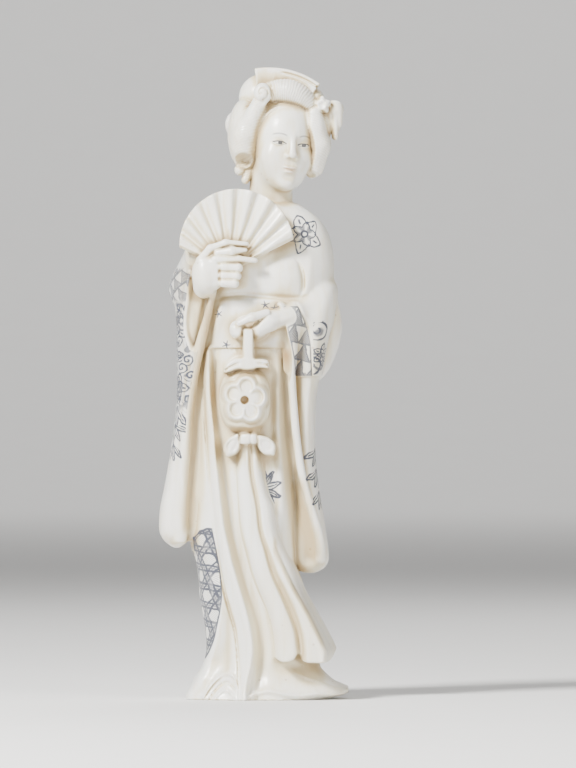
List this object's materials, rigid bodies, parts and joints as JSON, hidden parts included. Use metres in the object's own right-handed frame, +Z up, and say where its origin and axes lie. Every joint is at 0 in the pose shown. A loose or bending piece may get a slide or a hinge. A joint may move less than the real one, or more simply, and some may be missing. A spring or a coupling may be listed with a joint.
{
  "type": "okimono",
  "caption": "Okimono of a standing woman in a long-sleeved robe, carved in one piece, holding an open fan and a lantern with long ribbons",
  "frame": {"origin": "under the middle of the box round the figure, on the plane of the sole", "axes": "+Z up along the figure, -Y towards what she faces, +X to the lantern's side"},
  "size_m": [0.0378, 0.027, 0.1261],
  "materials": {
    "ivory": "polished ivory or bone: warm white, tan in the recesses, thin blue-grey ink ornament"
  },
  "bodies": {
    "root": {"carved_figure": "ivory"}
  },
  "joints": []
}
